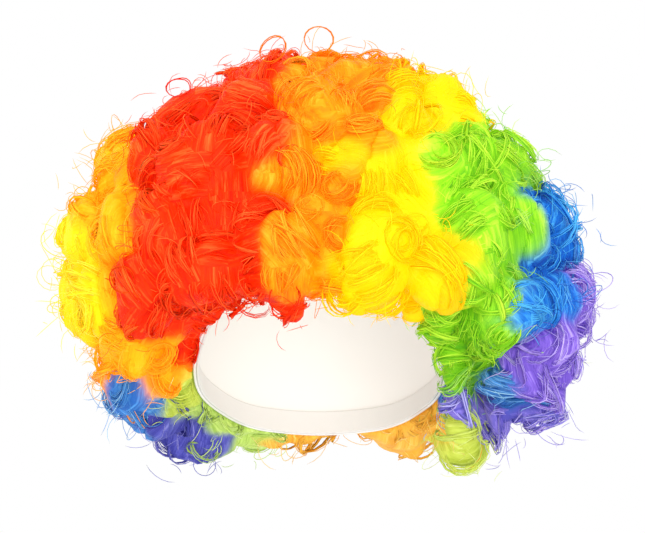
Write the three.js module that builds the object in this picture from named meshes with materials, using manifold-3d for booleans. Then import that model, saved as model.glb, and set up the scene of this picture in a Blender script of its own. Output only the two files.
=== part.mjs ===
// A rainbow clown wig: a close stretch cap with an elastic edge band, and curled hair sewn all over it, with
// one solid for each field of colour. Millimetres, +Z up, the face looks along -Y, and +X is to the right of
// someone who faces the wearer. The origin is inside the cap at the crown, where it sits on the head.
import * as THREE from "three";
import { mergeVertices } from "three/addons/utils/BufferGeometryUtils.js";
import Module from "manifold-3d";

const wasm = await Module();
wasm.setup();

// Room for the head: its breadth, its length, and the rise of the crown over its widest level
const HEAD_WIDTH = 154;
const HEAD_LENGTH = 194;
const CROWN_RISE = 100;

// Cap, the band inside its rim, and the gap between sewn layers
const CAP_WALL = 1.5;
const BAND_WALL = 1.5;
const BAND_WIDTH = 16;
const SEWN_GAP = 0.3;

// How far the hair stands off the head at the sides, over the crown, at the brow and at the back, and how
// far the centre of its round outline lies above the head's widest level
const HAIR_SIDE = 98;
const HAIR_TOP = 88;
const HAIR_FRONT = 54;
const HAIR_BACK = 78;
const HAIR_CENTRE_LIFT = 12;

// Curls: the wound roll that each lock ends in, the spread of its sizes, how far its tip stands out for its
// length, the distance from one to the next, the depth of the closed mass of hair under their outline, how
// deep a curl's middle is bedded in that mass, and the rows of curls under the lower edge
const CURL_RADIUS = 23.5;
const CURL_HALF_LENGTH = 32;
const CURL_SIZES = { least: 0.85, most: 1.15 };
const CURL_TIP_OUT = 0.5;
const CURL_SPACING = 51;
const MASS_DEPTH = 15;
const CURL_BED = 4;
const EDGE_ROWS = 3;

// Gap between two fields of colour, and where the nape's own colours start: below this height and behind
// this place
const SEAM_GAP = 0.4;
const NAPE_TOP = -112;
const NAPE_FRONT = 10;

// Share of the spacing that the curls' rows over the outline keep from its lower edge
const ROW_CLEAR = 0.7;

// Facets round the head, of the cap and of the mass from crown to edge, and of one curl
const ROUND_FACETS = 30;
const CAP_FACETS = 6;
const MASS_FACETS = 5;
const CURL_SIDES = 6;
const CURL_RINGS = 3;

const HEAD = new THREE.Vector3(HEAD_WIDTH / 2, HEAD_LENGTH / 2, CROWN_RISE);
const HAIR = new THREE.Vector3(
  HEAD.x + HAIR_SIDE,
  HEAD.y + (HAIR_FRONT + HAIR_BACK) / 2,
  HEAD.z + HAIR_TOP - HAIR_CENTRE_LIFT,
);
const HAIR_CENTRE = new THREE.Vector3(0, (HAIR_BACK - HAIR_FRONT) / 2, HAIR_CENTRE_LIFT - HEAD.z);

// The share of the way from the crown to the hair's edge at which its outline starts to draw in
const DRAWS_IN = 0.7;

// The lower edge by the turn from the face, positive to +X: the tilt down from the crown of the cap's rim
// and of the hair's outer edge, and the share of its full reach that the hair keeps at its edge
const EDGE = [
  { turn: -180, rim: 122, hair: 108, reach: 0.86 },
  { turn: -142, rim: 119, hair: 119, reach: 0.85 },
  { turn: -120, rim: 112, hair: 114, reach: 0.82 },
  { turn: -90, rim: 100, hair: 105, reach: 0.8 },
  { turn: -70, rim: 85, hair: 97, reach: 0.84 },
  { turn: -45, rim: 66, hair: 82, reach: 0.97 },
  { turn: 0, rim: 60, hair: 75, reach: 1 },
  { turn: 40, rim: 65, hair: 82, reach: 1 },
  { turn: 68, rim: 84, hair: 99, reach: 0.96 },
  { turn: 90, rim: 100, hair: 109, reach: 0.93 },
  { turn: 120, rim: 112, hair: 116, reach: 0.9 },
  { turn: 142, rim: 119, hair: 119, reach: 0.88 },
  { turn: 180, rim: 122, hair: 108, reach: 0.86 },
];

// Heights at which a seam between two colours is placed, as shares of the hair's half height
const LEVELS = { crown: 0.95, brow: 0.38, ear: 0.02, jaw: -0.15 };

// The fields of colour from the wearer's right to their left, each with the place of its seam to the next
// at those heights, as shares of the hair's half width. The last one has no seam after it.
const FIELDS = [
  { name: "curls_yellow_right", color: 0xfbe91c, crown: -0.7, brow: -0.76, ear: -0.8, jaw: -0.8 },
  { name: "curls_orange_right", color: 0xfd9f12, crown: -0.62, brow: -0.68, ear: -0.71, jaw: -0.4 },
  { name: "curls_red", color: 0xf63c13, crown: -0.18, brow: -0.11, ear: -0.03, jaw: -0.03 },
  { name: "curls_orange", color: 0xfb940a, crown: 0.29, brow: 0.08, ear: 0.08, jaw: 0.08 },
  { name: "curls_yellow", color: 0xfdec03, crown: 0.72, brow: 0.41, ear: 0.39, jaw: 0.38 },
  { name: "curls_green", color: 0xa6eb21, crown: 0.98, brow: 0.73, ear: 0.62, jaw: 0.56 },
  { name: "curls_blue", color: 0x186ac6, crown: 1.2, brow: 1.03, ear: 0.78, jaw: 0.66 },
  { name: "curls_violet", color: 0x7a59c7 },
];
const upright = (share) => ({ crown: share, brow: share, ear: share, jaw: share });
const NAPE_FIELDS = [
  { name: "nape_blue", color: 0x3d75bf, ...upright(-0.62) },
  { name: "nape_violet", color: 0x524796, ...upright(-0.42) },
  { name: "nape_green", color: 0x9fd04a, ...upright(-0.1) },
  { name: "nape_orange", color: 0xf0a02c, ...upright(0.42) },
  { name: "nape_yellow", color: 0xd9d94a, ...upright(0.7) },
  { name: "nape_violet_left", color: 0x6a4fb8 },
];

const radians = THREE.MathUtils.degToRad;
const steps = (count) => Array.from({ length: count + 1 }, (_, index) => index / count);

// A column of the edge table at any turn, on a smooth curve through its rows
function edgeAt(turn, column) {
  const degrees = THREE.MathUtils.euclideanModulo(THREE.MathUtils.radToDeg(turn) + 180, 360) - 180;
  const last = EDGE.length - 1;
  let row = 0;
  while (row < last - 1 && EDGE[row + 1].turn <= degrees) row += 1;
  const before = EDGE[row === 0 ? last - 1 : row - 1][column];
  const after = EDGE[row + 2 > last ? 1 : row + 2][column];
  const [from, to] = [EDGE[row], EDGE[row + 1]];
  const part = (degrees - from.turn) / (to.turn - from.turn);
  const start = (to[column] - before) / 2;
  const end = (after - from[column]) / 2;
  const cubic = 2 * (from[column] - to[column]) + start + end;
  const square = 3 * (to[column] - from[column]) - 2 * start - end;
  return ((cubic * part + square) * part + start) * part + from[column];
}

const rimTilt = (turn) => radians(edgeAt(turn, "rim"));
const hairTilt = (turn) => radians(edgeAt(turn, "hair"));

// A point of the head's form, moved out by a distance
function onHead(turn, tilt, out) {
  return new THREE.Vector3(
    (HEAD.x + out) * Math.sin(tilt) * Math.sin(turn),
    -(HEAD.y + out) * Math.sin(tilt) * Math.cos(turn),
    (HEAD.z + out) * Math.cos(tilt) - HEAD.z,
  );
}

// A point under the hair's outline at a depth. The outline draws in towards the reach of its edge.
function inHair(turn, tilt, depth) {
  const low = THREE.MathUtils.smoothstep(tilt / hairTilt(turn), DRAWS_IN, 1);
  const reach = THREE.MathUtils.lerp(1, edgeAt(turn, "reach"), low);
  return new THREE.Vector3(
    (HAIR.x * reach - depth) * Math.sin(tilt) * Math.sin(turn),
    -(HAIR.y * reach - depth) * Math.sin(tilt) * Math.cos(turn),
    (HAIR.z * reach - depth) * Math.cos(tilt),
  ).add(HAIR_CENTRE);
}

// A closed surface round the crown: a lathe's profile counts the places from the crown to the edge and on,
// and a function then gives the point of each place at each turn
function turned(places, pointAt) {
  const profile = places.map((_, index) => new THREE.Vector2(index, 0));
  const geometry = new THREE.LatheGeometry(profile, ROUND_FACETS);
  const position = geometry.getAttribute("position");
  for (let index = 0; index < position.count; index += 1) {
    const facet = Math.floor(index / places.length) % ROUND_FACETS;
    const point = pointAt((-facet / ROUND_FACETS) * 2 * Math.PI, places[index % places.length]);
    position.setXYZ(index, point.x, point.y, point.z);
  }
  return geometry;
}

// A closed geometry as a solid for joining and cutting
function solidOf(geometry) {
  const bare = geometry.clone();
  bare.deleteAttribute("normal");
  bare.deleteAttribute("uv");
  const merged = mergeVertices(bare);
  return new wasm.Manifold(
    new wasm.Mesh({
      numProp: 3,
      vertProperties: new Float32Array(merged.getAttribute("position").array),
      triVerts: new Uint32Array(merged.getIndex().array),
    }),
  );
}

function geometryOf(solid) {
  const { vertProperties, triVerts } = solid.getMesh();
  const geometry = new THREE.BufferGeometry();
  geometry.setAttribute("position", new THREE.BufferAttribute(vertProperties, 3));
  geometry.setIndex(new THREE.BufferAttribute(triVerts, 1));
  geometry.computeVertexNormals();
  return geometry;
}

// Rings of the cap: evenly from the crown to the top of its edge band, and one more at the rim
const CAP_RINGS = Array.from({ length: CAP_FACETS + 2 }, (_, ring) => ring);

function capTilt(turn, ring) {
  const bandTop = rimTilt(turn) - BAND_WIDTH / HEAD.z;
  return ring > CAP_FACETS ? rimTilt(turn) : (ring / CAP_FACETS) * bandTop;
}

// The head's form from the crown to one ring, moved out by a distance and closed through its middle
function domeTo(lastRing, out) {
  const places = [...CAP_RINGS.slice(0, lastRing + 1), null];
  return solidOf(
    turned(places, (turn, ring) =>
      ring === null ? new THREE.Vector3(0, 0, -HEAD.z) : onHead(turn, capTilt(turn, ring), out),
    ),
  );
}

// The head's whole form, moved out by a distance
function headForm(out) {
  const over = CAP_RINGS.map((ring) => ({ ring, past: 0 }));
  const under = steps(Math.ceil(CAP_FACETS / 2)).slice(1).map((past) => ({ ring: CAP_RINGS.at(-1), past }));
  return solidOf(
    turned([...over, ...under], (turn, { ring, past }) =>
      onHead(turn, THREE.MathUtils.lerp(capTilt(turn, ring), Math.PI, past), out),
    ),
  );
}

const capSolid = () => domeTo(CAP_FACETS + 1, CAP_WALL).subtract(headForm(0));

// The elastic band sewn inside the cap's rim
function bandSolid() {
  const filled = domeTo(CAP_FACETS + 1, -SEWN_GAP).subtract(domeTo(CAP_FACETS, 0));
  return filled.subtract(headForm(-SEWN_GAP - BAND_WALL));
}

// The closed mass of hair under the curls, filled down to the head's middle
function hairMass() {
  const over = steps(MASS_FACETS).map((down) => ({ down, inward: 0 }));
  const under = steps(2).slice(1).map((inward) => ({ down: 1, inward }));
  const places = [...over, ...under, null];
  return solidOf(
    turned(places, (turn, place) => {
      if (place === null) return new THREE.Vector3(0, 0, -HEAD.z);
      const outer = inHair(turn, place.down * hairTilt(turn), MASS_DEPTH);
      return outer.lerp(onHead(turn, rimTilt(turn), 0), place.inward);
    }),
  );
}

// A repeatable number from 0 to 1 for each curl and each use
function scatter(index, use) {
  const wave = Math.sin(index * 12.9898 + use * 78.233) * 43758.5453;
  return wave - Math.floor(wave);
}

// The middles of the curls: rows round the hair's outline, and then rows along its lower edge, from the
// outline in to the cap's rim
function curlCentres() {
  const centres = [];
  const depth = MASS_DEPTH + CURL_BED;
  const rowTilt = CURL_SPACING / HAIR.z;
  for (let row = 0; row * rowTilt < Math.PI; row += 1) {
    const tilt = row * rowTilt;
    const round = 2 * Math.PI * (HAIR.x - depth) * Math.sin(tilt);
    const count = Math.max(1, Math.round(round / CURL_SPACING));
    for (let index = 0; index < count; index += 1) {
      const turn = ((index + (row % 2) / 2) / count) * 2 * Math.PI;
      if (tilt < hairTilt(turn) - ROW_CLEAR * rowTilt) centres.push(inHair(turn, tilt, depth));
    }
  }
  const bedTilt = (2 * CURL_BED) / HAIR.z;
  for (const inward of steps(EDGE_ROWS - 1)) {
    const edge = steps(ROUND_FACETS).slice(1).map((part) => {
      const turn = part * 2 * Math.PI;
      const atRim = onHead(turn, rimTilt(turn) - CURL_RADIUS / HEAD.z, CAP_WALL + CURL_RADIUS / 2);
      return inHair(turn, hairTilt(turn) - bedTilt, depth).lerp(atRim, inward);
    });
    const loop = new THREE.CatmullRomCurve3(edge, true);
    centres.push(...loop.getSpacedPoints(Math.round(loop.getLength() / CURL_SPACING)).slice(1));
  }
  return centres;
}

// One curl: a rounded roll that lies along the outline at a scattered slant
function curlSolid(centre, index) {
  const outward = centre.clone().sub(HAIR_CENTRE).normalize();
  const along = new THREE.Vector3(0, 0, 1).cross(outward);
  if (along.length() < 0.1) along.set(1, 0, 0);
  along.normalize().applyAxisAngle(outward, scatter(index, 1) * Math.PI);
  along.addScaledVector(outward, CURL_TIP_OUT * scatter(index, 2)).normalize();
  const size = THREE.MathUtils.lerp(CURL_SIZES.least, CURL_SIZES.most, scatter(index, 3));
  const roll = new THREE.SphereGeometry(1, CURL_SIDES, CURL_RINGS);
  roll.scale(CURL_RADIUS * size, CURL_HALF_LENGTH * size, CURL_RADIUS * size);
  roll.applyQuaternion(new THREE.Quaternion().setFromUnitVectors(new THREE.Vector3(0, 1, 0), along));
  roll.translate(centre.x, centre.y, centre.z);
  return solidOf(roll);
}

// A seam's place at a height: straight between the levels, and upright past the first and last
function seamAt(field, height) {
  const rows = Object.entries(LEVELS).map(([level, share]) => ({
    height: HAIR_CENTRE.z + share * HAIR.z,
    place: field[level] * HAIR.x,
  }));
  if (height >= rows[0].height) return rows[0].place;
  const below = rows.findIndex((row) => height > row.height);
  if (below < 0) return rows.at(-1).place;
  const [high, low] = [rows[below - 1], rows[below]];
  return THREE.MathUtils.mapLinear(height, low.height, high.height, low.place, high.place);
}

const seamed = (field) => field !== undefined && field.crown !== undefined;

// The space between two seams, from in front of the hair to behind it
function betweenSeams(before, after) {
  const far = 2 * HAIR.length();
  const heights = [far, ...Object.values(LEVELS).map((share) => HAIR_CENTRE.z + share * HAIR.z), -far];
  const side = (field, otherwise, gap) =>
    heights.map((height) => {
      const place = seamed(field) ? seamAt(field, height) + gap : otherwise;
      return new THREE.Vector2(place, height);
    });
  const left = side(before, -far, SEAM_GAP / 2);
  const right = side(after, far, -SEAM_GAP / 2);
  const slab = new THREE.ExtrudeGeometry(new THREE.Shape([...left, ...right.reverse()]), {
    depth: 2 * far,
    bevelEnabled: false,
  });
  slab.translate(0, 0, -far);
  slab.rotateX(Math.PI / 2);
  return solidOf(slab);
}

// The space behind the ears and below the nape's top, moved in or out by half a gap
function napeSpace(growth) {
  const far = 2 * HAIR.length();
  const box = new THREE.BoxGeometry(2 * far, far + growth, far + growth);
  box.translate(0, NAPE_FRONT + (far - growth) / 2, NAPE_TOP - (far - growth) / 2);
  return solidOf(box);
}

// The largest body of a solid: the tip of a curl that a seam cuts free holds to nothing
function withoutTrimmings(solid) {
  return solid.decompose().reduce((most, body) => (body.volume() > most.volume() ? body : most));
}

const wig = new THREE.Group();

function addPiece(name, solid, color, roughness) {
  const material = new THREE.MeshStandardMaterial({ color, roughness, metalness: 0 });
  const piece = new THREE.Mesh(geometryOf(solid), material);
  piece.name = name;
  wig.add(piece);
}

addPiece("cap", capSolid(), 0xf4f2ee, 0.9);
addPiece("edge_band", bandSolid(), 0xf7f6f3, 0.85);

const whole = curlCentres().map(curlSolid).reduce((hair, curl) => hair.add(curl), hairMass());
const hair = whole.subtract(headForm(CAP_WALL + SEWN_GAP));
for (const fields of [FIELDS, NAPE_FIELDS]) {
  fields.forEach((field, index) => {
    const slab = betweenSeams(fields[index - 1], field);
    const gap = SEAM_GAP / 2;
    const space = fields === FIELDS ? slab.subtract(napeSpace(gap)) : slab.intersect(napeSpace(-gap));
    addPiece(field.name, withoutTrimmings(hair.intersect(space)), field.color, 0.6);
  });
}

export default wig;
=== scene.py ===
import math

import bmesh
import bpy
import numpy as np
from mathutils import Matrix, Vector
from mathutils.bvhtree import BVHTree


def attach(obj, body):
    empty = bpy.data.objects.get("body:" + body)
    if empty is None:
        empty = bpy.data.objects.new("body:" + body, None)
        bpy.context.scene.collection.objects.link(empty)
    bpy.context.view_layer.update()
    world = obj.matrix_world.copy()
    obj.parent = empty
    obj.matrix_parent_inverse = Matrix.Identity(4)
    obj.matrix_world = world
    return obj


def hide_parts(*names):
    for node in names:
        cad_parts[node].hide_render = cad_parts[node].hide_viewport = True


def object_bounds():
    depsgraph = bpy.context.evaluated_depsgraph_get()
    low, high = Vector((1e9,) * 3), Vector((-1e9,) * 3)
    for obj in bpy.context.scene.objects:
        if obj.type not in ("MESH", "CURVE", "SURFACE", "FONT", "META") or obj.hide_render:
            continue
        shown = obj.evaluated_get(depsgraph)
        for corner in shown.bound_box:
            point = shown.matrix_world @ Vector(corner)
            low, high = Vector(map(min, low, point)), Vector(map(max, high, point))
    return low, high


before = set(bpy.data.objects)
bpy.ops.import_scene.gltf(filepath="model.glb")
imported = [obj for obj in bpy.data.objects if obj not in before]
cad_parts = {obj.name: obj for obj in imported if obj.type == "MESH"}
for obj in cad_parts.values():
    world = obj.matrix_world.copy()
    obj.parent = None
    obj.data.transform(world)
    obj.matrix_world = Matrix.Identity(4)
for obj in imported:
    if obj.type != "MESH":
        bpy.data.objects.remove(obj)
cad_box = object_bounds()

MM = 0.001
RNG = np.random.default_rng(20)

# Loose hair reaches this far out of the CAD model's box, at most
LOOSE_REACH = 15 * MM
ROOM = (np.array(cad_box[0]) - LOOSE_REACH, np.array(cad_box[1]) + LOOSE_REACH)

# The head that the cap fits, and the middle of the hair's outline
HEAD_CENTRE = np.array([0.0, 0.0, -100 * MM])
HEAD_HALF = np.array([77 * MM, 97 * MM, 100 * MM])
HAIR_CENTRE = np.array([0.0, 12 * MM, -88 * MM])
HAIR_HALF = np.array([175 * MM, 163 * MM, 176 * MM])

# The photo's size, the pixel at X 0 and Z 0, the size of a pixel at the hair's middle, and the camera's place
IMAGE_SIZE = (645, 533)
ORIGIN_PIXEL = (320, 193.2)
SCALE = 0.62 * MM
CAMERA_DISTANCE = 2.2
CAMERA_PLACE = np.array(
    [
        (IMAGE_SIZE[0] / 2 - ORIGIN_PIXEL[0]) * SCALE,
        HAIR_CENTRE[1] - CAMERA_DISTANCE,
        -(IMAGE_SIZE[1] / 2 - ORIGIN_PIXEL[1]) * SCALE,
    ]
)

CAP_WALL = 1.5 * MM
BAND_WIDTH = 16 * MM
BAND_WALL = 1.5 * MM
SEWN_GAP = 0.3 * MM
CROWN_TO_RIM = 170 * MM
RIM_STEPS = 96
SHELL_RINGS = 64

# The cap's knit and the band's ribs; the knit is drawn several times as coarse as a real one, so that it shows
WALE = 4.2 * MM
COURSE = 7.6 * MM
RIB = 0.5 * MM

# Hair stays this far out of the cap, and no curl is sewn this near to it or to a seam between two fields
CAP_CLEARANCE = 1.5 * MM
CAP_MARGIN = 6 * MM
SEAM_MARGIN = 1.5 * MM

# Curls: how far apart they are sewn, their sizes, and how deep their middles lie under the hair's outline
CURL_SPACING = 21 * MM
BACK_SPACING = 27 * MM
BACK_DEPTH = 110 * MM
TRIES_FOR_EACH = 30
CURL_RADIUS = (8.5 * MM, 14 * MM)
CURL_STRETCH = (1.0, 1.6)
CURL_SINK = 0.62
CORE_SHARE = 0.74

# Where each colour begins in front, from the left: a row for each height, with its Z and each field's X (mm)
SEAM_FIELDS = (
    "curls_orange_right",
    "curls_red",
    "curls_orange",
    "curls_yellow",
    "curls_green",
    "curls_blue",
    "curls_violet",
)
SEAMS = [
    (-119, -140, -56, -11, 9, 43, 110, 112),
    (-103, -136, -84, -11, 9, 43, 118, 119),
    (-91, -134, -117, -11, 9, 43, 126, 127),
    (-79, -136, -122, -11, 9, 45, 127, 146),
    (-66, -130, -124, -11, 9, 88, 124, 155),
    (-45, -131, -121, -28, 22, 97, 122, 150),
    (-32, -143, -113, -34, 27, 94, 123, 167),
    (-20, -146, -108, -30, 27, 85, 125, 186),
    (-7, -147, -108, -25, 20, 69, 126, 186),
    (2, -147, -111, -35, 16, 72, 128, 186),
    (14, -152, -113, -39, 12, 74, 135, 186),
    (27, -165, -115, -31, 14, 76, 129, 186),
    (39, -175, -115, -18, 32, 90, 127, 186),
    (58, -175, -115, -16, 51, 94, 127, 186),
]
SEAM_SOFT = 1.6 * MM

# The lower end of the orange over the wearer's right ear: X and Z (mm)
EAR_SEAM = [(-143, -112), (-124, -116), (-99, -125), (-74, -127), (-60, -132)]

# Patches of other colours in front: field, X and Z of the middle, half width and half height (mm); how far
# they reach past that size, and how sharp their edge is
PATCH_REACH = 1.2
PATCH_SHARPNESS = 3
PATCHES = [
    ("nape_blue", 99, -126, 27, 10),
    ("nape_blue", 151, -136, 8, 10),
    ("nape_violet_left", 121, -138, 24, 9),
    ("nape_yellow", -89, -129, 11, 9),
    ("nape_yellow", -110, -127, 13, 3),
    ("nape_violet", 131, -86, 5, 13),
    ("nape_green", -70, -163, 11, 9),
]

# The colours in front pass into the CAD fields' own between these two depths
FRONT_DEPTHS = (45 * MM, 90 * MM)

# How often a curl beside a seam has the next field's colour, and how near it is
SWAPPED_SHARE = 0.4
SWAPPED_WITHIN = 10 * MM

# Where a curl is looked for that the camera sees beside the hair, and what puts that after any hit (m)
MISSED_PLACE = -60 * MM
BEHIND_ALL = 10

# Curls that stand out in the photo: kind, X and Z of the middle as the camera sees it, radius and half length
# (mm), and heading of the axis from level (degrees)
MARKED_CURLS = [
    ("roll", -102, 38, 14, 19, 60),
    ("roll", -51, 48, 15, 20, 80),
    ("rosette", -4, 43, 12, 8, 0),
    ("roll", -82, -16, 15, 17, 20),
    ("tumbled", -53, -15, 11, 12, 0),
    ("roll", -113, -49, 15, 17, 30),
    ("tumbled", -133, -27, 17, 18, 0),
    ("roll", 77, -47, 20, 19, 40),
    ("rosette", 50, -29, 14, 10, 0),
    ("rosette", 60, 67, 13, 10, 0),
    ("rosette", 14, -26, 13, 9, 0),
    ("tumbled", 102, 20, 16, 17, 0),
    ("rosette", 116, -4, 11, 8, 0),
    ("roll", 93, -16, 14, 15, 120),
    ("tumbled", 108, -36, 12, 13, 0),
    ("tumbled", 146, -13, 16, 16, 0),
    ("rosette", 130, -52, 9, 6, 0),
    ("roll", 141, -67, 13, 14, 10),
    ("tumbled", 164, -55, 14, 15, 0),
    ("roll", -12, 17, 14, 14, 15),
    ("roll", -16, -26, 14, 13, 40),
    ("tumbled", -128, -58, 13, 13, 0),
    ("tumbled", 114, -64, 11, 11, 0),
    ("tumbled", -51, 8, 13, 13, 0),
    ("tumbled", 131, -87, 8, 11, 0),
    ("roll", -130, -91, 13, 13, 60),
    ("tumbled", -96, -97, 12, 12, 0),
    ("rosette", -78, -95, 10, 7, 0),
    ("tumbled", -121, -107, 13, 13, 0),
    ("roll", -102, -115, 12, 13, 20),
    ("ring", -89, -129, 10, 6, 0),
    ("tumbled", 96, -79, 13, 13, 0),
    ("rosette", 113, -89, 11, 7, 0),
    ("tumbled", 77, -99, 12, 12, 0),
    ("rosette", 95, -113, 11, 8, 0),
    ("roll", 84, -127, 9, 14, 0),
    ("tumbled", 112, -141, 11, 12, 0),
    ("tumbled", 151, -136, 9, 9, 0),
    ("tumbled", 143, -95, 14, 14, 0),
    ("tumbled", 160, -86, 12, 12, 0),
    ("tumbled", 140, -119, 13, 13, 0),
    ("tumbled", -70, -160, 9, 10, 0),
]

# Curls in the fringe and in front of the wearer's left temple and cheek: field, X, Y and Z of the middle,
# radius and half length (mm)
EDGE_CURLS = [
    ("curls_orange", 3, -118, -54, 11, 14),
    ("curls_yellow", 56, -92, -69, 11, 13),
    ("curls_green", 70, -84, -80, 12, 13),
    ("curls_green", 80, -66, -97, 12, 13),
    ("curls_green", 85, -46, -112, 13, 13),
    ("nape_violet_left", 85, -30, -129, 11, 12),
    ("nape_yellow", 86, -6, -144, 12, 12),
]

# How the other curls are shared among the kinds, in the fields that hang loosely and in the rest
KINDS = ("roll", "rosette", "tumbled")
LOOSE_CHANCES = (0.2, 0.3, 0.5)
CLOSE_CHANCES = (0.45, 0.2, 0.35)
LOOSE_FIELDS = ("curls_green", "curls_blue", "curls_violet", "nape_blue", "nape_violet", "nape_violet_left")

# How far a strand's own axis leans from its curl's
LEAN = {"roll": 0.2, "rosette": 0.15, "ring": 0.15, "tumbled": 0.6}

# Strands of a curl: guides, each followed by one flat lock of parallel fibres and a few single fibres
GUIDES = 7
FIBRES = 3
LOOSE_FIBRES = 4
ARC_STEPS = 10
COIL_STEPS = 15
LOCK_HALF_WIDTH = (0.8 * MM, 1.6 * MM)
LOCK_HALF_HEIGHT = 0.3 * MM
FIBRE_RADIUS = (0.18 * MM, 0.33 * MM)
FIBRE_APART = 2.2 * MM
FIBRE_LIFT = (0.2 * MM, 1.6 * MM)
TAPER_RATE = 7
TAPER_LEAST = 0.1

# How often a strand beside a seam belongs to the next field, and how fast that falls off
STRAY_SHARE = 0.3
STRAY_WITHIN = 7 * MM

# Loose hair that stands out of the outline, and loops of it in the photo: X, Z and radius (mm)
MARKED_LOOPS = [(-30, 90, 9), (-1, 95, 9), (-88, 66, 7), (-21, -64, 9), (-118, -54, 8), (130, -53, 8)]
MARKED_LOOP_THICK = 0.42 * MM
MARKED_LOOP_SWEEPS = (5.6, -6.6)
FLYAWAYS = 400
FLYAWAY_RADIUS = (5 * MM, 10 * MM)
FLYAWAY_THICK = (0.18 * MM, 0.3 * MM)
FRIZZ = 3000
FRIZZ_STEPS = 5
FRIZZ_RADIUS = (7 * MM, 16 * MM)
FRIZZ_THICK = 0.2 * MM

# Packed hair between the curls: its grid, and how far it swells over the seams between the CAD fields
PACKED_VOXEL = 4 * MM
PACKED_SWELL = 2 * MM

# The imported hair's tone where it is neither deep nor high, set lower than the strands' as painted shade
# under the curls, and how strongly the painted depth shade and light change it
NAPE_TONE = (0.4, 0.4)
LOOSE_TONE = (0.3, 2.2)
CLOSE_TONE = (0.4, 1.2)

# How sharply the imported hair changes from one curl's colour to the next's
CURL_BLEND = 6

# How far the hair's outline is drawn in towards a middle line, to the photo's: direction from level (degrees)
# and distance (mm), from this share of the outline outwards
OUTLINE_MIDDLE = np.array([0.0, 0.0, -32 * MM])
OUTLINE_FROM = 0.5
OUTLINE_REACH = 150 * MM
DRAWN_IN = [
    (-70, 0),
    (-50, -1),
    (-43, 18),
    (-39, 15),
    (-35, 5),
    (-30, 15),
    (-20, 4),
    (0, 5),
    (20, 7),
    (40, 7),
    (50, 2),
    (60, -3),
    (70, 0),
    (80, 9),
    (100, 8),
    (110, 18),
    (120, 6),
    (130, 9),
    (140, -2),
    (160, 4),
    (180, 3),
    (200, 10),
    (215, 5),
    (230, -3),
]

# Streaks: how wide and how long a fibre's streak is, how much larger a lock's is, how strongly they show, and
# where in the pattern strands and curls start
STREAK_WIDE = 1.1 * MM
STREAK_LONG = 16 * MM
LOCK_STREAK = 1 / 0.27
STREAK_CONTRAST = 1.35
STRAND_STARTS = 400
CURL_START = 17.3

# Fields of hair: the CAD node, the record's slot, the strength of a painted glow that stands in for light
# passing on through the hair, and the colours at low, middle and high tone, where the tone holds random shades
# of the dye with painted shade in the depth and painted light on the curls' tops
FIELDS = {
    "curls_yellow_right": ("fibre_lemon", 0.4, "#f0c410", "#f0c810", "#f4da40"),
    "curls_orange_right": ("fibre_orange", 0.3, "#f8900a", "#fca40e", "#fcb828"),
    "curls_red": ("fibre_red", 0.12, "#cc1800", "#f62e00", "#fc6a2c"),
    "curls_orange": ("fibre_orange", 0.2, "#f26c04", "#fa8a06", "#fcaa28"),
    # The yellow's low-tone colour is lighter than its middle one: painted light that lifts its shaded depths
    "curls_yellow": ("fibre_yellow", 0.5, "#eebe04", "#eab400", "#f0c00a"),
    "curls_green": ("fibre_green", 0.22, "#62ac1e", "#84c81c", "#bce63c"),
    "curls_blue": ("fibre_blue", 0.14, "#0f42a2", "#1a70cc", "#50b0e6"),
    "curls_violet": ("fibre_violet", 0.14, "#5038a4", "#8464d0", "#c8b4f2"),
    "nape_blue": ("fibre_blue", 0.14, "#2860ac", "#4a8fd4", "#a0d2ee"),
    "nape_violet": ("fibre_indigo", 0.14, "#3a3a94", "#5a5ab6", "#9c98d6"),
    "nape_green": ("fibre_pale_green", 0.2, "#9aba4c", "#c0da70", "#e2efb0"),
    "nape_orange": ("fibre_amber", 0.2, "#e09a30", "#f0b844", "#f6d88c"),
    "nape_yellow": ("fibre_pale_green", 0.2, "#aebe3c", "#cada5c", "#e6f0a0"),
    "nape_violet_left": ("fibre_violet", 0.14, "#5a54b4", "#8474d2", "#c4b8f0"),
}
NAMES = list(FIELDS)

# How far fibres mix over a seam between two CAD fields, how much, and how many other fields' a piece may show
MIXED_OVER = 5 * MM
MIXED_MOST = 0.8
GUESTS = 4

# How much of the colour that lies under it a single strand takes on
GUEST_TINT = 0.12

# A wave texture turns through this many radians in each unit, and a Mix node's colours are at these sockets
WAVE_RATE = 20
MIX_FIRST, MIX_SECOND, MIX_RESULT = 6, 7, 2


def linear(colour):
    """An sRGB hex colour as linear red, green, blue and alpha."""
    parts = [int(colour[index : index + 2], 16) / 255 for index in (1, 3, 5)]
    return [part / 12.92 if part <= 0.04045 else ((part + 0.055) / 1.055) ** 2.4 for part in parts] + [1.0]


# Materials


def add_node(tree, kind, inputs=None, **settings):
    """A node with its settings, and a value or a link for each input named."""
    made = tree.nodes.new(kind)
    for name, value in settings.items():
        setattr(made, name, value)
    for name, value in (inputs or {}).items():
        if isinstance(value, bpy.types.NodeSocket):
            tree.links.new(value, made.inputs[name])
        else:
            made.inputs[name].default_value = value
    return made


def ramp_stops(ramp, stops):
    """Sets a colour ramp's stops, given as place: colour."""
    elements = ramp.color_ramp.elements
    while len(elements) > 1:
        elements.remove(elements[-1])
    for index, (place, colour) in enumerate(stops.items()):
        element = elements[0] if index == 0 else elements.new(place)
        element.position = place
        element.color = linear(colour)


def new_material(name, roughness, sheen=0.0, specular=0.5):
    """A material with a Principled shader, and its node tree and shader."""
    material = bpy.data.materials.new(name)
    material.use_nodes = True
    tree = material.node_tree
    shader = tree.nodes["Principled BSDF"]
    shader.inputs["Roughness"].default_value = roughness
    shader.inputs["Sheen Weight"].default_value = sheen
    shader.inputs["Sheen Roughness"].default_value = 0.4
    shader.inputs["Specular IOR Level"].default_value = specular
    return material, tree, shader


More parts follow.
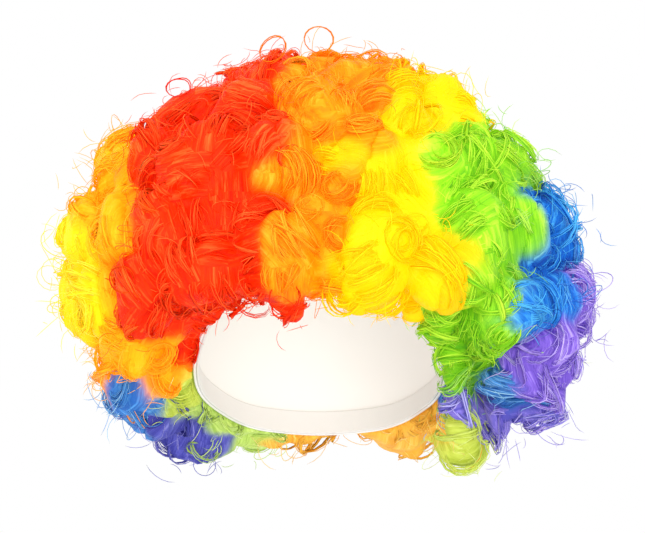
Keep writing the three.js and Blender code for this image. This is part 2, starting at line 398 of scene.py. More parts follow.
def curled_fibre(node, guests):
    """Modacrylic fibre, drawn and crimped round hot rods: soft and silky, in fine streaks along each lock,
    and mixed with other fields' fibre over the seams."""
    name = "Modacrylic curled fibre, " + node.replace("_", " ")
    material, tree, shader = new_material(name, 0.5, specular=0.08)
    # Painted light: the fibre glows in its own colour, standing in for light that passes from fibre to fibre
    # in the loose hair, so that its shaded depths stay bright
    shader.inputs["Emission Strength"].default_value = FIELDS[node][1]
    tone = add_node(tree, "ShaderNodeAttribute", attribute_name="tone").outputs["Fac"]
    fibre = add_node(tree, "ShaderNodeUVMap", uv_map="fibre").outputs["UV"]
    # Fine streaks for the fibres and coarse ones for the locks that they lie in
    fine = add_node(
        tree, "ShaderNodeTexNoise", {"Vector": fibre, "Scale": 1.0, "Detail": 3.0, "Roughness": 0.6}
    ).outputs["Fac"]
    coarse = add_node(
        tree, "ShaderNodeTexNoise", {"Vector": fibre, "Scale": 1 / LOCK_STREAK, "Detail": 1.0}
    ).outputs["Fac"]
    streaks = add_node(tree, "ShaderNodeMath", {0: fine, 1: coarse}, operation="ADD").outputs[0]
    spread = add_node(
        tree,
        "ShaderNodeMath",
        {0: streaks, 1: STREAK_CONTRAST, 2: -STREAK_CONTRAST},
        operation="MULTIPLY_ADD",
    ).outputs[0]
    shade = add_node(tree, "ShaderNodeMath", {0: tone, 1: spread}, operation="ADD").outputs[0]
    ramps = []
    for field in (node, *guests):
        ramp = add_node(tree, "ShaderNodeValToRGB", {"Fac": shade})
        ramp_stops(ramp, dict(zip((0.0, 0.5, 1.0), FIELDS[field][2:])))
        ramps.append(ramp.outputs["Color"])
    colour = ramps[0]
    for guest, other in zip(guests, ramps[1:]):
        share = add_node(tree, "ShaderNodeAttribute", attribute_name=guest).outputs["Fac"]
        inputs = {"Factor": share, MIX_FIRST: colour, MIX_SECOND: other}
        colour = add_node(tree, "ShaderNodeMix", inputs, data_type="RGBA").outputs[MIX_RESULT]
    tree.links.new(colour, shader.inputs["Base Color"])
    # The painted glow takes the fibre's own colour, tone for tone
    tree.links.new(colour, shader.inputs["Emission Color"])
    bump = add_node(tree, "ShaderNodeBump", {"Height": streaks, "Strength": 0.8, "Distance": 1.2 * MM})
    tree.links.new(bump.outputs["Normal"], shader.inputs["Normal"])
    return material


def wave_scale(spacing, span):
    """A wave texture's scale for bands this far apart, on a UV map whose unit is this long."""
    return 2 * math.pi / WAVE_RATE * span / spacing


def cap_net():
    """Knitted nylon net: matt white, with stitches in courses round the head, thin enough that light comes
    through; a faint painted glow in its own colour stands in for that light."""
    material, tree, shader = new_material("Knitted nylon stretch net, white", 0.85, sheen=0.3, specular=0.25)
    thread = add_node(tree, "ShaderNodeUVMap", uv_map="fibre").outputs["UV"]
    girth = math.pi * (HEAD_HALF[0] + HEAD_HALF[1])
    uneven = {"Vector": thread, "Detail Scale": 60.0}
    wales = add_node(
        tree, "ShaderNodeTexWave", {**uneven, "Scale": wave_scale(WALE, girth), "Distortion": 1.5}
    ).outputs["Fac"]
    courses = add_node(
        tree,
        "ShaderNodeTexWave",
        {**uneven, "Scale": wave_scale(COURSE, 2 * CROWN_TO_RIM), "Distortion": 1.0},
        bands_direction="Y",
    ).outputs["Fac"]
    stitch = add_node(tree, "ShaderNodeMath", {0: wales, 1: courses}, operation="MULTIPLY").outputs[0]
    ramp = add_node(tree, "ShaderNodeValToRGB", {"Fac": stitch})
    ramp_stops(ramp, {0.0: "#e6e3de", 0.35: "#faf9f7"})
    tree.links.new(ramp.outputs["Color"], shader.inputs["Base Color"])
    bump = add_node(tree, "ShaderNodeBump", {"Height": stitch, "Strength": 0.5, "Distance": 0.4 * MM})
    tree.links.new(bump.outputs["Normal"], shader.inputs["Normal"])
    # Painted light: the net glows faintly in its own colour
    tree.links.new(ramp.outputs["Color"], shader.inputs["Emission Color"])
    shader.inputs["Emission Strength"].default_value = 0.14
    return material


def band_elastic():
    """Braided elastic: matt white, with fine ribs along its length."""
    material, tree, shader = new_material("Braided elastic, white", 0.7, sheen=0.2, specular=0.3)
    thread = add_node(tree, "ShaderNodeUVMap", uv_map="fibre").outputs["UV"]
    ribs = add_node(
        tree,
        "ShaderNodeTexWave",
        {"Vector": thread, "Scale": wave_scale(RIB, 2 * BAND_WIDTH)},
        bands_direction="Y",
    ).outputs["Fac"]
    ramp = add_node(tree, "ShaderNodeValToRGB", {"Fac": ribs})
    ramp_stops(ramp, {0.0: "#e4e1dc", 0.6: "#fbfaf8"})
    tree.links.new(ramp.outputs["Color"], shader.inputs["Base Color"])
    bump = add_node(tree, "ShaderNodeBump", {"Height": ribs, "Strength": 0.6, "Distance": 0.4 * MM})
    tree.links.new(bump.outputs["Normal"], shader.inputs["Normal"])
    return material


# Meshes as arrays


def unit(vectors):
    return vectors / np.maximum(np.linalg.norm(vectors, axis=-1, keepdims=True), 1e-12)


def across(axis):
    """Two unit vectors square to an axis and to each other."""
    helper = np.array([0.0, 0.0, 1.0]) if abs(axis[2]) < 0.9 else np.array([1.0, 0.0, 0.0])
    first = unit(np.cross(helper, axis))
    return first, np.cross(axis, first)


def mesh_arrays(mesh):
    """A mesh's points and triangles as arrays."""
    points = np.empty(len(mesh.vertices) * 3)
    mesh.vertices.foreach_get("co", points)
    mesh.calc_loop_triangles()
    corners = np.empty(len(mesh.loop_triangles) * 3, dtype=np.int32)
    mesh.loop_triangles.foreach_get("vertices", corners)
    return points.reshape(-1, 3), corners.reshape(-1, 3)


class Heap:
    """Triangles gathered for one piece: points with their tone and their share of each field's colour, and
    faces with their UVs."""

    def __init__(self):
        self.points, self.tones, self.shares, self.faces, self.uvs = [], [], [], [], []
        self.count = 0

    def add(self, points, tones, shares, faces, uvs):
        self.points.append(points)
        self.tones.append(tones)
        self.shares.append(shares)
        self.faces.append(faces + self.count)
        self.uvs.append(uvs)
        self.count += len(points)

    def make(self, name, node):
        mesh = bpy.data.meshes.new(name)
        faces = np.concatenate(self.faces)
        mesh.from_pydata(np.concatenate(self.points), [], faces)
        mesh.uv_layers.new(name="fibre").data.foreach_set("uv", np.concatenate(self.uvs).ravel())
        mesh.attributes.new("tone", "FLOAT", "POINT").data.foreach_set("value", np.concatenate(self.tones))
        # The guests that this piece shows most, each as its share of the mix so far
        shares = np.concatenate(self.shares)
        own = NAMES.index(node)
        order = [index for index in np.argsort(-shares.sum(0)) if index != own][:GUESTS]
        mixed = shares[:, own].copy()
        for index in order:
            mixed += shares[:, index]
            values = shares[:, index] / np.maximum(mixed, 1e-6)
            guest = mesh.attributes.new(NAMES[index], "FLOAT", "POINT")
            guest.data.foreach_set("value", np.ascontiguousarray(values))
        mesh.polygons.foreach_set("use_smooth", np.ones(len(faces), dtype=bool))
        mesh.materials.append(curled_fibre(node, [NAMES[index] for index in order]))
        mesh.update()
        piece = bpy.data.objects.new(name, mesh)
        bpy.context.scene.collection.objects.link(piece)
        return piece


HEAPS = {node: Heap() for node in FIELDS}
SOLIDS = {node: mesh_arrays(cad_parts[node].data) for node in FIELDS}
TREES = {
    node: BVHTree.FromPolygons(points.tolist(), faces.tolist()) for node, (points, faces) in SOLIDS.items()
}


def smooth_step(values):
    return 1 / (1 + np.exp(-np.clip(values, -30, 30)))


def on_middle_plane(points):
    """Where the camera sees points on the plane through the hair's middle."""
    nearer = CAMERA_DISTANCE / (points[:, 1] - CAMERA_PLACE[1])
    return CAMERA_PLACE + (points - CAMERA_PLACE) * nearer[:, None]


def shares_in_front(points):
    """Each field's share of the colour in front, at the X and Z where the camera sees the points."""
    points = on_middle_plane(points)
    table = np.array(SEAMS) * MM
    begins = [np.interp(points[:, 2], table[:, 0], column) for column in table[:, 1:].T]
    passed = smooth_step((points[:, 0] - np.array(begins)) / SEAM_SOFT)
    passed = np.vstack([np.ones(len(points)), passed, np.zeros(len(points))])
    shares = np.zeros((len(points), len(NAMES)))
    for index, field in enumerate(("curls_yellow_right", *SEAM_FIELDS)):
        shares[:, NAMES.index(field)] = passed[index] - passed[index + 1]
    ear = np.array(EAR_SEAM) * MM
    under = smooth_step((np.interp(points[:, 0], ear[:, 0], ear[:, 1]) - points[:, 2]) / SEAM_SOFT)
    under = (under * (points[:, 0] < ear[-1, 0]))[:, None]
    shares *= 1 - under
    shares[:, NAMES.index("nape_blue")] += under[:, 0]
    return shares


def with_patches(points, shares):
    """The shares with the patches of other colours laid over them, as the camera sees them."""
    points = on_middle_plane(points)
    for field, across_it, up, half_width, half_height in PATCHES:
        off = np.hypot((points[:, 0] / MM - across_it) / half_width, (points[:, 2] / MM - up) / half_height)
        share = np.clip((PATCH_REACH - off) * PATCH_SHARPNESS, 0, 1)
        shares = shares * (1 - share[:, None])
        shares[:, NAMES.index(field)] += share
    return shares


def field_shares(node, points):
    """Each field's share of the colour at points of one field: as in the photo in front, else by the CAD
    seams."""
    shares = np.zeros((len(points), len(NAMES)))
    own = NAMES.index(node)
    shares[:, own] = 1
    for other in (own - 1, own + 1):
        if 0 <= other < len(NAMES) and NAMES[other].split("_")[0] == node.split("_")[0]:
            near = TREES[NAMES[other]].find_nearest
            distance = np.array([near(Vector(point))[3] for point in points])
            shares[:, other] = MIXED_MOST * np.exp(-distance / MIXED_OVER)
    shares /= shares.sum(1, keepdims=True)
    near, far = FRONT_DEPTHS
    front = np.clip((far - points[:, 1]) / (far - near), 0, 1)[:, None]
    ahead = shares if node.startswith("nape") else shares_in_front(points)
    return front * with_patches(points, ahead) + (1 - front) * shares


def outside_head(points):
    """Moves points that lie inside the cap out to its surface."""
    half = HEAD_HALF + CAP_WALL + CAP_CLEARANCE
    scaled = (points - HEAD_CENTRE) / half
    depth = np.linalg.norm(scaled, axis=-1, keepdims=True)
    return np.where(depth < 1, scaled / np.maximum(depth, 1e-6) * half + HEAD_CENTRE, points)


def drawn_in(points):
    """Draws points near the hair's outline in to the photo's outline."""
    offset = (points - OUTLINE_MIDDLE) * (1, 0, 1)
    reach = np.linalg.norm(offset, axis=-1)
    turn = np.degrees(np.arctan2(offset[..., 2], offset[..., 0]))
    table = np.array(DRAWN_IN)
    amount = np.interp(turn, table[:, 0], table[:, 1] * MM, period=360)
    share = np.clip((reach / OUTLINE_REACH - OUTLINE_FROM) / (1 - OUTLINE_FROM), 0, 1) ** 2
    return points - offset * (amount * share / np.maximum(reach, MM))[..., None]


def strand_faces(count, steps):
    """The triangles of three-sided strands: the sides of all, then the caps at their ends."""
    first = (np.arange(count) * steps * 3)[:, None, None]
    ring = first + (np.arange(steps - 1) * 3)[None, :, None]
    corner = np.arange(3)[None, None, :]
    a, b = ring + corner, ring + (corner + 1) % 3
    c, d = b + 3, a + 3
    sides = np.stack([np.stack([a, b, c], -1), np.stack([a, c, d], -1)], axis=3).reshape(-1, 3)
    low = first[:, 0, :]
    end = low + (steps - 1) * 3
    starts = np.concatenate([low + 2, low + 1, low], -1)
    ends = np.concatenate([end, end + 1, end + 2], -1)
    return np.concatenate([sides, starts, ends])


def strand_uvs(paths, half_width):
    """The strands' UVs, in streaks round and along them, each from its own place in the pattern."""
    count, steps = paths.shape[:2]
    apart = RNG.uniform(0, STRAND_STARTS, (count, 1, 1))
    round_it = (half_width * 4 / STREAK_WIDE)[:, None, None]
    turn = np.arange(3)[None, None, :] / 3 * round_it + apart + np.zeros((1, steps - 1, 1))
    step = np.linalg.norm(np.diff(paths, axis=1), axis=-1)
    arc = np.concatenate([np.zeros((count, 1)), np.cumsum(step, 1)], 1)[:, :, None] / STREAK_LONG + apart
    near, far = (np.broadcast_to(part, turn.shape) for part in (arc[:, :-1], arc[:, 1:]))
    beyond = turn + round_it / 3
    corners = [(turn, near), (beyond, near), (beyond, far), (turn, near), (beyond, far), (turn, far)]
    sides = np.stack([np.stack([u, v], -1) for u, v in corners], axis=3).reshape(-1, 2)
    # Two caps of three corners each
    return np.concatenate([sides, np.zeros((count * 6, 2))])


def add_strands(node, paths, side, half_width, half_height, tones):
    """Three-sided strands along paths of points, wide along a side direction, pointed at both ends."""
    paths = drawn_in(paths)
    fits = ((paths > ROOM[0]) & (paths < ROOM[1])).all(axis=(1, 2))
    if not fits.any():
        return
    paths, side, tones = paths[fits], side[fits], tones[fits]
    half_width, half_height = half_width[fits], half_height[fits]
    count, steps = paths.shape[:2]
    paths = outside_head(paths)
    forward = unit(np.gradient(paths, axis=1))
    wide = side[:, None, :] - (side[:, None, :] * forward).sum(-1, keepdims=True) * forward
    wide = unit(wide)
    high = np.cross(forward, wide)
    reach = np.linspace(0, 1, steps)
    taper = np.clip(np.minimum(reach, 1 - reach) * TAPER_RATE, TAPER_LEAST, 1)[None, :, None]
    rings = [
        paths
        + wide * (half_width * math.cos(angle))[:, None, None] * taper
        + high * (half_height * math.sin(angle))[:, None, None] * taper
        for angle in (math.radians(90), math.radians(210), math.radians(330))
    ]
    points = np.stack(rings, axis=2).reshape(-1, 3)
    uvs = strand_uvs(paths, half_width)
    shares = GUEST_TINT * field_shares(node, paths[:, steps // 2])
    shares[:, NAMES.index(node)] += 1 - GUEST_TINT
    shares = np.repeat(shares, steps * 3, 0)
    HEAPS[node].add(points, np.repeat(tones.ravel(), 3), shares, strand_faces(count, steps), uvs)


# Where the curls are sewn


def field_beside(place, node):
    """How far the nearest other field is, and which it is."""
    others = [(tree.find_nearest(Vector(place))[3], other) for other, tree in TREES.items() if other != node]
    return min(others)


def field_shown(place, node):
    """The field of a curl sewn at a place: the CAD node's, or in front what the photo shows there."""
    shares = field_shares(node, drawn_in(np.array([place])))[0]
    return str(RNG.choice(NAMES, p=shares))


def seen_at(across_it, up):
    """The place on the hair that the camera sees at an X and Z, and its outward direction and field. Where no
    hair is seen there, it is the place nearest to a point in front."""
    seen = np.array([across_it, HAIR_CENTRE[1], up])
    seen = 2 * seen - drawn_in(seen)
    way = Vector(unit(seen - CAMERA_PLACE))
    hits = []
    for node, tree in TREES.items():
        place, normal, _, distance = tree.ray_cast(Vector(CAMERA_PLACE), way)
        if place is None:
            place, normal, _, distance = tree.find_nearest(Vector((across_it, MISSED_PLACE, up)))
            distance += BEHIND_ALL
        hits.append((distance, np.array(place), np.array(normal), node))
    return min(hits, key=lambda hit: hit[0])[1:]


def spread_places(taken):
    """Evenly spread places on the outside of the hair, clear of the places taken."""
    candidates = []
    for node, (points, faces) in SOLIDS.items():
        corners = points[faces]
        normal = np.cross(corners[:, 1] - corners[:, 0], corners[:, 2] - corners[:, 0])
        area = np.linalg.norm(normal, axis=1) / 2
        wanted = int(area.sum() / CURL_SPACING**2 * TRIES_FOR_EACH)
        chosen = RNG.choice(len(faces), wanted, p=area / area.sum())
        weight = RNG.dirichlet((1, 1, 1), wanted)
        place = (corners[chosen] * weight[:, :, None]).sum(1)
        candidates += [(place[i], unit(normal[chosen[i]]), node) for i in range(wanted)]
    kept, places = [], np.array(taken).reshape(-1, 3)
    for index in RNG.permutation(len(candidates)):
        place, normal, node = candidates[index]
        back = min(max(place[1] / BACK_DEPTH, 0), 1)
        apart = CURL_SPACING + back * (BACK_SPACING - CURL_SPACING)
        if np.linalg.norm((place - HEAD_CENTRE) / (HEAD_HALF + CAP_MARGIN)) < 1:
            continue
        if np.min(np.linalg.norm(places - place, axis=1)) < apart:
            continue
        if field_beside(place, node)[0] < SEAM_MARGIN:
            continue
        kept.append((place, normal, node))
        places = np.vstack([places, place])
    return kept


def out_of_hair(place, normal):
    return unit(0.5 * normal + 0.5 * unit(place - HAIR_CENTRE))


def marked_curls():
    for kind, across_it, up, radius, half, heading in MARKED_CURLS:
        place, normal, node = seen_at(across_it * MM, up * MM)
        node = field_shown(place, node)
        outward = out_of_hair(place, normal)
        angle = math.radians(heading)
        axis = np.array([math.cos(angle), 0, math.sin(angle)])
        axis = outward if kind in ("rosette", "ring") else unit(axis - outward * (axis @ outward))
        yield {
            "kind": kind,
            "node": node,
            "place": place,
            "outward": outward,
            "centre": place - outward * radius * MM * CURL_SINK,
            "axis": axis,
            "radius": radius * MM,
            "half": half * MM,
        }
    for node, *middle, radius, half in EDGE_CURLS:
        centre = np.array(middle) * MM
        yield {
            "kind": "tumbled",
            "node": node,
            "place": centre,
            "outward": np.array([0.0, -1.0, 0.0]),
            "centre": centre,
            "axis": np.array([0.0, 0.0, 1.0]),
            "radius": radius * MM,
            "half": half * MM,
        }


def spread_curls(taken):
    for place, normal, node in spread_places(taken):
        outward = out_of_hair(place, normal)
        distance, beside = field_beside(place, node)
        if place[1] > FRONT_DEPTHS[0]:
            node = beside if distance < SWAPPED_WITHIN and RNG.random() < SWAPPED_SHARE else node
        else:
            node = field_shown(place, node)
        kind = RNG.choice(KINDS, p=LOOSE_CHANCES if node in LOOSE_FIELDS else CLOSE_CHANCES)
        radius = RNG.uniform(*CURL_RADIUS)
        tangent, other = across(outward)
        heading = RNG.uniform(0, math.pi)
        axis = tangent * math.cos(heading) + other * math.sin(heading)
        if kind == "rosette":
            axis = unit(outward + 0.35 * axis)
        else:
            axis = unit(axis + 0.3 * RNG.uniform(-1, 1) * outward)
        yield {
            "kind": kind,
            "node": node,
            "place": place,
            "outward": outward,
            "centre": place - outward * radius * CURL_SINK,
            "axis": axis,
            "radius": radius,
            "half": radius * RNG.uniform(*CURL_STRETCH) * (0.6 if kind == "rosette" else 1),
        }


# The curls' strands


def swell(count, steps, amount):
    """A slow random swell along each strand, about 0."""
    along = np.linspace(0, 1, steps)[None, :]
    rate = RNG.uniform(0.5, 1.6, (count, 1))
    start = RNG.uniform(0, 1, (count, 1))
    return amount * np.sin(2 * math.pi * (along * rate + start))


def tucked(along, depth):
    """Draws both ends of a strand in towards the curl's middle."""
    return 1 - depth * np.clip(1 - np.minimum(along, 1 - along) * 5, 0, 1) ** 2


def circle(centre, first, second, radius, angle):
    """Points on circles: radius and angle are arrays of strands by steps."""
    flat = first[:, None, :] * np.cos(angle)[..., None] + second[:, None, :] * np.sin(angle)[..., None]
    return centre + flat * radius[..., None]


def guides(curl, count):
    """Paths that wind round a curl's axis, and the axis of each: arcs over the outside of a barrel, a coil
    seen from its end, or arcs every way."""
    coiled = curl["kind"] in ("rosette", "ring")
    along = np.linspace(0, 1, (COIL_STEPS if coiled else ARC_STEPS) + 1)[None, :]
    axes = unit(curl["axis"] + LEAN[curl["kind"]] * RNG.normal(size=(count, 3)))
    # Angles start from the side that faces out
    first = unit(curl["outward"] - (axes @ curl["outward"])[:, None] * axes + 1e-6)
    second = np.cross(axes, first)
    hand = RNG.choice([-1, 1])
    lift = RNG.uniform(0.97, 1.22, (count, 1)) + swell(count, along.size, 0.07)
    if coiled:
        angle = RNG.uniform(0, 2 * math.pi, (count, 1)) + hand * along * RNG.uniform(5, 8, (count, 1))
        ring = RNG.uniform(0.4, 1.05, (count, 1)) * (1 - 0.3 * along * RNG.uniform(0, 1, (count, 1)))
        rise = (0.8 - 0.7 * np.abs(ring - 0.7)) * curl["radius"]
        centre = curl["centre"] + axes[:, None, :] * rise[..., None]
        return circle(centre, first, second, curl["radius"] * ring * lift, angle), axes
    sweep = RNG.uniform(3.2, 4.8, (count, 1))
    angle = hand * ((along - 0.5) * sweep + RNG.normal(0, 0.35, (count, 1)))
    if curl["kind"] == "roll":
        place = RNG.uniform(-0.9, 0.9, (count, 1)) + RNG.uniform(-0.4, 0.4, (count, 1)) * (along - 0.5)
        place = np.clip(place, -1, 1)
        radius = curl["radius"] * lift * np.sqrt(1 - 0.7 * place**2) * tucked(along, 0.25)
        centre = curl["centre"] + curl["axis"] * (place * curl["half"])[..., None]
        return circle(centre, first, second, radius, angle), axes
    slide = (along - 0.5) * RNG.uniform(-0.7, 0.7, (count, 1)) * curl["radius"]
    drift = axes[:, None, :] * slide[..., None]
    middle = curl["centre"] + 0.25 * curl["radius"] * RNG.normal(size=(count, 3))
    radius = curl["radius"] * lift * RNG.uniform(0.7, 1.0, (count, 1)) * tucked(along, 0.2)
    return circle(middle[:, None, :] + drift, first, second, radius, angle), axes


def depth_tone(points):
    """Painted shade and light on the hair's tone for how near it lies to the outline: painted shade in the
    depth, painted light on the curls' tops and round the face."""
    reach = np.linalg.norm((points - HAIR_CENTRE) / HAIR_HALF, axis=-1)
    darkest = -0.3 + 0.3 * np.clip(-points[..., 1] / (50 * MM), 0, 1)
    return np.clip((reach - 0.95) * 2.2, darkest, 0.16)


def grow_curl(curl):
    """A curl's locks and fibres. Near a seam, some strands belong to the field beside it."""
    behind = curl["outward"][1] > 0.3
    bundles = GUIDES - behind
    paths, axes = guides(curl, bundles)
    steps = paths.shape[1]
    mood = RNG.normal(0, 0.06)
    each = 1 + (LOOSE_FIBRES if curl["node"] in LOOSE_FIELDS else FIBRES) - behind
    count = bundles * each
    outward = unit(paths - curl["centre"])
    paths, axes, outward = np.repeat(paths, each, 0), np.repeat(axes, each, 0), np.repeat(outward, each, 0)
    lock = np.arange(count) % each == 0
    apart = np.where(lock, 0, FIBRE_APART)[:, None]
    aside = RNG.uniform(-1, 1, (count, 1)) + swell(count, steps, 0.5)
    paths = paths + axes[:, None, :] * (apart * aside)[..., None]
    lift = np.where(lock, 0, RNG.uniform(*FIBRE_LIFT, count))[:, None]
    paths = paths + outward * (lift + apart * swell(count, steps, 0.25))[..., None]
    width = np.where(lock, RNG.uniform(*LOCK_HALF_WIDTH, count), RNG.uniform(*FIBRE_RADIUS, count))
    height = np.where(lock, LOCK_HALF_HEIGHT, width)
    uneven = 0.2 if curl["node"] in LOOSE_FIELDS else 0.08
    tones = 0.5 + mood + RNG.normal(0, uneven, (count, 1)) + np.where(lock, 0, uneven)[:, None]
    # Painted shade in the depth and painted light on the curls' tops
    tones = tones + depth_tone(paths)
    distance, beside = field_beside(curl["place"], curl["node"])
    stray = RNG.random(count) < STRAY_SHARE * math.exp(-distance / STRAY_WITHIN) * (curl["place"][1] > 0)
    for node, chosen in ((curl["node"], ~stray), (beside, stray)):
        if chosen.any():
            add_strands(node, paths[chosen], axes[chosen], width[chosen], height[chosen], tones[chosen])


def add_loop(node, centre, outward, side, radius, sweep, thick, tone):
    """One loose loop, begun deep in the hair."""
    along = np.linspace(0, 1, COIL_STEPS + 1)[None, :]
    third = np.cross(side, outward)
    angle = math.pi - 0.1 * sweep + along * sweep
    drift = side * ((along - 0.5) * 0.5 * radius)[..., None]
    size = radius * (1 + swell(1, along.size, 0.1))
    loop = circle(centre + drift, outward[None, :], third[None, :], size, angle)
    thick = np.full(1, thick)
    add_strands(node, loop, side[None, :], thick, thick, np.full((1, along.size), tone))


def grow_flyaways(curls):
    """Single loops that have sprung out of the outline."""
    for index in RNG.choice(len(curls), FLYAWAYS):
        curl = curls[index]
        outward = curl["outward"]
        radius = RNG.uniform(*FLYAWAY_RADIUS)
        side = unit(np.cross(outward, RNG.normal(size=3)))
        centre = curl["place"] + outward * radius * RNG.uniform(0, 0.5) + 5 * MM * RNG.normal(size=3)
        sweep = RNG.choice([-1, 1]) * RNG.uniform(4.5, 8)
        thick = RNG.uniform(*FLYAWAY_THICK)
        add_loop(curl["node"], centre, outward, side, radius, sweep, thick, RNG.uniform(0.3, 0.9))
    for across_it, up, radius in MARKED_LOOPS:
        place, _, node = seen_at(across_it * MM, up * MM)
        centre = np.array([across_it * MM, place[1] - 4 * MM, up * MM])
        outward = unit((centre - HAIR_CENTRE) * (1, 0, 1))
        ahead = np.array([0.0, -1.0, 0.0])
        for sweep in MARKED_LOOP_SWEEPS:
            size = radius * RNG.uniform(0.94, 1.06) * MM
            add_loop(node, centre, outward, ahead, size, sweep, MARKED_LOOP_THICK, 0.1)


def grow_frizz(curls):
    """Short fine arcs that make the outline hazy."""
    along = np.linspace(0, 1, FRIZZ_STEPS + 1)[None, :]
    for index in RNG.choice(len(curls), FRIZZ):
        curl = curls[index]
        axis = unit(RNG.normal(size=3))
        first, second = across(axis)
        angle = RNG.uniform(0, 2 * math.pi) + along * RNG.uniform(0.8, 2.2)
        middle = curl["place"] + RNG.normal(0, 8 * MM, 3) + curl["outward"] * RNG.uniform(-2, 5) * MM
        radius = np.full_like(along, RNG.uniform(*FRIZZ_RADIUS))
        arc = circle(middle, first[None, :], second[None, :], radius, angle)
        arc = arc - (arc.mean(1, keepdims=True) - middle)
        thick = np.full(1, FRIZZ_THICK)
        tones = np.full((1, along.size), RNG.uniform(0.4, 1))
        add_strands(curl["node"], arc, axis[None, :], thick, thick, tones)


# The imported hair


def ball_about(mesh, curl):
    """A ball of packed hair inside one curl."""
    first, second = across(curl["axis"])
    long, wide = curl["half"] * CORE_SHARE, curl["radius"] * CORE_SHARE
    made = bmesh.ops.create_icosphere(mesh, subdivisions=2, radius=1)
    for vertex in made["verts"]:
        x, y, z = vertex.co
        vertex.co = Vector(curl["centre"] + first * x * wide + second * y * wide + curl["axis"] * z * long)


def packed_mass(node, curls):
    """The points and triangles of a field's own solid and its curls' middles, joined as one soft mass."""
    solid = bmesh.new()
    solid.from_mesh(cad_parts[node].data)
    bmesh.ops.remove_doubles(solid, verts=solid.verts[:], dist=0.001 * MM)
    for curl in curls:
        if curl["node"] == node and curl["kind"] != "ring":
            ball_about(solid, curl)
    mesh = bpy.data.meshes.new("packed")
    solid.to_mesh(mesh)
    solid.free()
    block = bpy.data.objects.new("packed", mesh)
    bpy.context.scene.collection.objects.link(block)
    remesh = block.modifiers.new("Remesh", "REMESH")
    remesh.mode = "VOXEL"
    remesh.voxel_size = PACKED_VOXEL
    smooth = block.modifiers.new("Smooth", "SMOOTH")
    smooth.iterations = 2
    grown = block.modifiers.new("Swell", "DISPLACE")
    grown.strength = PACKED_SWELL
    grown.mid_level = 0
    finished = block.evaluated_get(bpy.context.evaluated_depsgraph_get()).to_mesh()
    points, faces = mesh_arrays(finished)
    bpy.data.objects.remove(block)
    bpy.data.meshes.remove(mesh)
    return points, faces


def add_packed_hair(node, curls):
    """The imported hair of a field, coloured and streaked as the curl nearest to each place."""
    points, faces = packed_mass(node, curls)
    centres = np.array([curl["centre"] for curl in curls])
    axes = np.array([curl["axis"] for curl in curls])
    radii = np.array([curl["radius"] for curl in curls])
    away = np.linalg.norm(points[:, None, :] - centres, axis=-1) / radii
    weights = np.exp(-CURL_BLEND * (away - away.min(1, keepdims=True)))
    fields = np.array([[curl["node"] == field for field in FIELDS] for curl in curls], dtype=float)
    shares = weights @ fields / weights.sum(1, keepdims=True)
    nearest = np.argmin(away, axis=1)[faces[:, 0]]
    pairs = np.array([across(axis) for axis in axes])[nearest]
    offset = points[faces] - centres[nearest][:, None, :]
    height = (offset * axes[nearest][:, None, :]).sum(-1)
    x, y = (offset * pairs[:, None, 0]).sum(-1), (offset * pairs[:, None, 1]).sum(-1)
    angle = np.arctan2(y, x)
    angle = angle - 2 * math.pi * np.round((angle - angle[:, :1]) / (2 * math.pi))
    uvs = np.stack([height / STREAK_WIDE, angle * radii[nearest][:, None] / STREAK_LONG], -1)
    uvs += (nearest * CURL_START)[:, None, None]
    # Painted shade: the packed hair's tone sits below the strands', and darkens in the depth with the painted
    # depth shade
    if node.startswith("nape"):
        middle, change = NAPE_TONE
    else:
        middle, change = LOOSE_TONE if node in LOOSE_FIELDS else CLOSE_TONE
    tones = middle + depth_tone(points) * change
    HEAPS[node].add(outside_head(drawn_in(points)), tones, shares, faces, uvs.reshape(-1, 2))


# The cap


def rim_tilt(tree, turn):
    """How far the cap reaches down from the crown, as an angle at the head's middle, towards one side."""
    centre = Vector(HEAD_CENTRE)
    low, high = math.radians(30), math.radians(150)
    for _ in range(14):
        tilt = (low + high) / 2
        way = Vector((math.sin(tilt) * math.sin(turn), -math.sin(tilt) * math.cos(turn), math.cos(tilt)))
        way = Vector(np.array(way) * HEAD_HALF)
        covered = tree.ray_cast(centre, way)[0] is not None
        low, high = (tilt, high) if covered else (low, tilt)
    return low


def head_shell(name, rims, out, wall, start, material):
    """A thin shell on the head's form, from a distance above its rim, or the crown, down to its rim."""
    shell = bmesh.new()
    turns = len(rims)
    bmesh.ops.create_uvsphere(shell, u_segments=turns, v_segments=SHELL_RINGS, radius=1, calc_uvs=True)
    bmesh.ops.delete(shell, geom=[v for v in shell.verts if v.co.z < -1e-4], context="VERTS")
    layer = shell.loops.layers.uv.verify()
    layer_name = layer.name
    for vertex in shell.verts:
        turn = math.atan2(vertex.co.x, -vertex.co.y) % (2 * math.pi)
        share = math.acos(max(-1, min(1, vertex.co.z))) / (math.pi / 2)
        slot = turn / (2 * math.pi) * turns
        before = int(slot) % turns
        rim = rims[before] + (rims[(before + 1) % turns] - rims[before]) * (slot - int(slot))
        top = 0 if start is None else rim - start / HEAD_HALF[2]
        tilt = top + (rim - top) * share
        half = HEAD_HALF + out
        vertex.co = Vector(
            (
                half[0] * math.sin(tilt) * math.sin(turn),
                -half[1] * math.sin(tilt) * math.cos(turn),
                half[2] * math.cos(tilt) + HEAD_CENTRE[2],
            )
        )
    if start is not None:
        crowned = [f for f in shell.faces if len(f.verts) == 3]
        bmesh.ops.delete(shell, geom=crowned, context="FACES")
    bmesh.ops.recalc_face_normals(shell, faces=shell.faces[:])
    mesh = bpy.data.meshes.new(name)
    shell.to_mesh(mesh)
    shell.free()
    mesh.uv_layers[layer_name].name = "fibre"
    mesh.polygons.foreach_set("use_smooth", np.ones(len(mesh.polygons), dtype=bool))
    mesh.materials.append(material)
    piece = bpy.data.objects.new(name, mesh)
    bpy.context.scene.collection.objects.link(piece)
    thick = piece.modifiers.new("Wall", "SOLIDIFY")
    thick.thickness = wall
    thick.offset = 1
    return piece


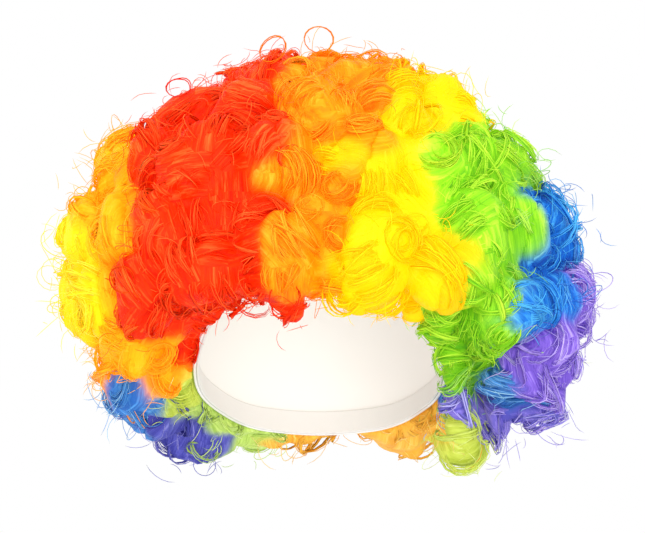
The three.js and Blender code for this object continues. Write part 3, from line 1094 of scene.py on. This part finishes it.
def make_cap():
    points, faces = mesh_arrays(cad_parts["cap"].data)
    tree = BVHTree.FromPolygons(points.tolist(), faces.tolist())
    rims = [rim_tilt(tree, turn) for turn in np.linspace(0, 2 * math.pi, RIM_STEPS, endpoint=False)]
    rims = [(rims[i - 1] + 2 * rims[i] + rims[(i + 1) % RIM_STEPS]) / 4 for i in range(RIM_STEPS)]
    cap = head_shell("stretch_cap", rims, 0, CAP_WALL, None, cap_net())
    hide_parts("cap")
    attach(cap, "root")
    band = head_shell(
        "elastic_edge_band", rims, -SEWN_GAP - BAND_WALL, BAND_WALL, BAND_WIDTH, band_elastic()
    )
    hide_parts("edge_band")
    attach(band, "root")


def make_hair():
    marked = list(marked_curls())
    curls = marked + list(spread_curls([curl["place"] for curl in marked]))
    for curl in curls:
        grow_curl(curl)
    grow_flyaways(curls)
    grow_frizz(curls)
    for node, (slot, *_) in FIELDS.items():
        add_packed_hair(node, curls)
        piece = HEAPS[node].make(node + "_hair", node)
        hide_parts(node)
        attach(piece, "root")


# Floor, light and camera

SENSOR = 36 * MM

# The floor lies below the camera's view of the photo (m)
FLOOR_HEIGHT = -4.5
FLOOR_RADIUS = 6

# Lights: place and size (m), and power (W)
LIGHTS = {
    "Key": ((-0.9, -1.8, 1.3), 1.4, 27),
    "Fill": ((0.5, -2.3, -0.1), 1.2, 30),
}


def add_studio():
    world = bpy.data.worlds.new("Studio")
    bpy.context.scene.world = world
    world.use_nodes = True
    world.node_tree.nodes["Background"].inputs["Color"].default_value = (1, 1, 1, 1)
    world.node_tree.nodes["Background"].inputs["Strength"].default_value = 1.0
    floor = bmesh.new()
    bmesh.ops.create_circle(floor, cap_ends=True, segments=64, radius=FLOOR_RADIUS)
    bmesh.ops.translate(floor, verts=floor.verts[:], vec=(0, 0, FLOOR_HEIGHT))
    mesh = bpy.data.meshes.new("studio_floor")
    floor.to_mesh(mesh)
    floor.free()
    material, tree, shader = new_material("Matt white studio floor", 0.95, specular=0.1)
    grain = add_node(tree, "ShaderNodeTexNoise", {"Scale": 60.0})
    tone = add_node(tree, "ShaderNodeValToRGB", {"Fac": grain.outputs["Fac"]})
    ramp_stops(tone, {0.3: "#fbfbfb", 0.7: "#fefefe"})
    tree.links.new(tone.outputs["Color"], shader.inputs["Base Color"])
    mesh.materials.append(material)
    ground = bpy.data.objects.new("studio_floor", mesh)
    bpy.context.scene.collection.objects.link(ground)


def add_light(name, place, size, power):
    light = bpy.data.lights.new(name, "AREA")
    light.size = size
    light.energy = power
    lamp = bpy.data.objects.new(name, light)
    lamp.location = place
    aim = Vector(HAIR_CENTRE) - lamp.location
    lamp.rotation_euler = aim.to_track_quat("-Z", "Y").to_euler()
    bpy.context.scene.collection.objects.link(lamp)


def add_camera():
    camera = bpy.data.cameras.new("Camera")
    camera.sensor_width = SENSOR / MM
    camera.lens = SENSOR * CAMERA_DISTANCE / (IMAGE_SIZE[0] * SCALE) / MM
    camera.clip_end = 50
    holder = bpy.data.objects.new("Camera", camera)
    holder.location = CAMERA_PLACE
    holder.rotation_euler = (math.pi / 2, 0, 0)
    bpy.context.scene.collection.objects.link(holder)
    bpy.context.scene.camera = holder


add_camera()
add_studio()
for name, (place, size, power) in LIGHTS.items():
    add_light(name, place, size, power)
make_cap()
make_hair()
bpy.context.scene.view_settings.view_transform = "Standard"
